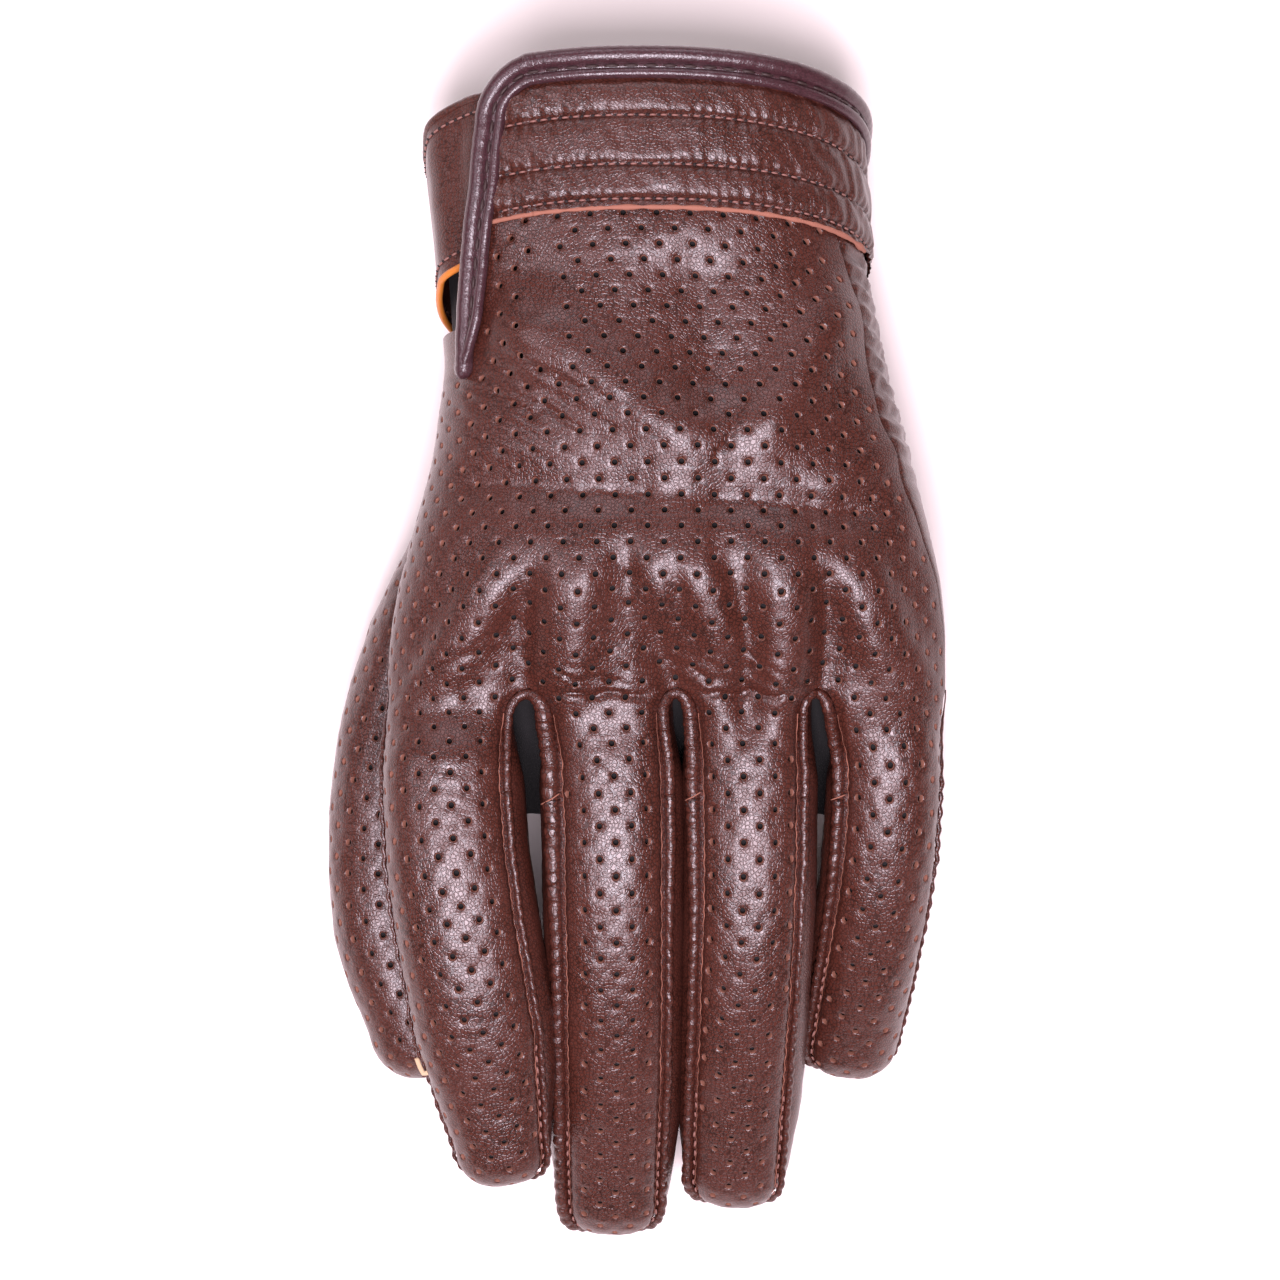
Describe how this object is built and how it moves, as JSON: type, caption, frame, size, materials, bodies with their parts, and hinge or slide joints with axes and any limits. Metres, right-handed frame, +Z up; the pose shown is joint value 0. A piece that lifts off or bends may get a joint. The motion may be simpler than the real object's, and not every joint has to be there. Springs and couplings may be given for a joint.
{
  "type": "leather driving glove",
  "caption": "Left-hand short-cuff driving glove in perforated leather, palm down, with padded cuff, overlapping wrist flap and fingers that curl at two folds.",
  "frame": {"origin": "centre of the bounding box, at its base", "axes": "+X to the little finger, +Y from the fingertips to the cuff, +Z up through the back of the hand"},
  "size_m": [0.1102, 0.2106, 0.0565],
  "materials": {
    "perforated_leather": "perforated, pebbled grain",
    "plain_leather": "pebbled grain",
    "palm_leather": "fine grain",
    "binding_leather": "smooth rolled",
    "orange_piping": "smooth",
    "lining_fabric": "knitted",
    "guard_foam": "moulded foam rubber",
    "hook_loop": "hook and loop tape",
    "elastic": "woven elastic"
  },
  "bodies": {
    "hand": {"back_panel": "perforated_leather", "outer_side_panel": "plain_leather", "palm_panel": "palm_leather", "thumb_gusset": "perforated_leather", "knuckle_guard": "guard_foam", "palm_pad": "guard_foam", "hand_lining": "lining_fabric", "wrist_elastic": "elastic", "cuff_band_back": "plain_leather", "cuff_band_palm": "plain_leather", "closure_tab": "plain_leather", "loop_patch": "hook_loop", "vent_piping": "orange_piping", "cuff_binding": "binding_leather"},
    "thumb": {"thumb_back": "perforated_leather", "thumb_palm": "palm_leather"},
    "closure_flap": {"closure_flap": "plain_leather", "flap_binding": "binding_leather", "hook_patch": "hook_loop"},
    "index_base": {"index_back_base": "perforated_leather", "index_palm_base": "palm_leather", "index_little_side_wall_base": "palm_leather", "index_thumb_side_wall_base": "palm_leather"},
    "index_end": {"index_back_end": "perforated_leather", "index_palm_end": "palm_leather", "index_little_side_wall_end": "palm_leather", "index_thumb_side_wall_end": "palm_leather"},
    "middle_base": {"middle_back_base": "perforated_leather", "middle_palm_base": "palm_leather", "middle_little_side_wall_base": "palm_leather", "middle_thumb_side_wall_base": "palm_leather"},
    "middle_end": {"middle_back_end": "perforated_leather", "middle_palm_end": "palm_leather", "middle_little_side_wall_end": "palm_leather", "middle_thumb_side_wall_end": "palm_leather"},
    "ring_base": {"ring_back_base": "perforated_leather", "ring_palm_base": "palm_leather", "ring_little_side_wall_base": "palm_leather", "ring_thumb_side_wall_base": "palm_leather"},
    "ring_end": {"ring_back_end": "perforated_leather", "ring_palm_end": "palm_leather", "ring_little_side_wall_end": "palm_leather", "ring_thumb_side_wall_end": "palm_leather"},
    "little_base": {"little_back_base": "perforated_leather", "little_palm_base": "palm_leather", "little_little_side_wall_base": "palm_leather", "little_thumb_side_wall_base": "palm_leather"},
    "little_end": {"little_back_end": "perforated_leather", "little_palm_end": "palm_leather", "little_little_side_wall_end": "palm_leather", "little_thumb_side_wall_end": "palm_leather"}
  },
  "joints": [
    {"name": "index_knuckle", "type": "hinge", "parent": "hand", "child": "index_base", "pos_m": [-0.03276, -0.00946, 0.03258], "axis": [1, 0.0023, 0], "range_deg": [-15, 0]},
    {"name": "index_middle_fold", "type": "hinge", "parent": "index_base", "child": "index_end", "pos_m": [-0.03093, -0.04141, 0.03276], "axis": [0.9927, 0.1207, 0], "range_deg": [-8, 4]},
    {"name": "middle_knuckle", "type": "hinge", "parent": "hand", "child": "middle_base", "pos_m": [-0.0044, -0.00991, 0.03135], "axis": [0.998, 0.0638, 0], "range_deg": [-15, 55]},
    {"name": "middle_middle_fold", "type": "hinge", "parent": "middle_base", "child": "middle_end", "pos_m": [-0.00353, -0.04593, 0.02845], "axis": [1, 0.0058, 0], "range_deg": [-8, 66]},
    {"name": "ring_knuckle", "type": "hinge", "parent": "hand", "child": "ring_base", "pos_m": [0.02017, -0.00965, 0.0308], "axis": [0.9999, 0.0173, 0], "range_deg": [-15, 55]},
    {"name": "ring_middle_fold", "type": "hinge", "parent": "ring_base", "child": "ring_end", "pos_m": [0.02027, -0.04407, 0.02804], "axis": [0.9997, -0.0239, 0], "range_deg": [-8, 66]},
    {"name": "little_knuckle", "type": "hinge", "parent": "hand", "child": "little_base", "pos_m": [0.04411, -0.00815, 0.02818], "axis": [0.996, 0.0895, 0], "range_deg": [-15, 55]},
    {"name": "little_middle_fold", "type": "hinge", "parent": "little_base", "child": "little_end", "pos_m": [0.04422, -0.03354, 0.02433], "axis": [0.9966, -0.0822, 0], "range_deg": [-8, 66]},
    {"name": "thumb_swing", "type": "hinge", "parent": "hand", "child": "thumb", "pos_m": [-0.03293, 0.01101, 0.01561], "axis": [0, 0, -1], "range_deg": [0, 32]},
    {"name": "flap_fold", "type": "hinge", "parent": "hand", "child": "closure_flap", "pos_m": [-0.01398, 0.07051, 0.05257], "axis": [-0.0832, 0.9951, -0.0529], "range_deg": [0, 78]}
  ]
}
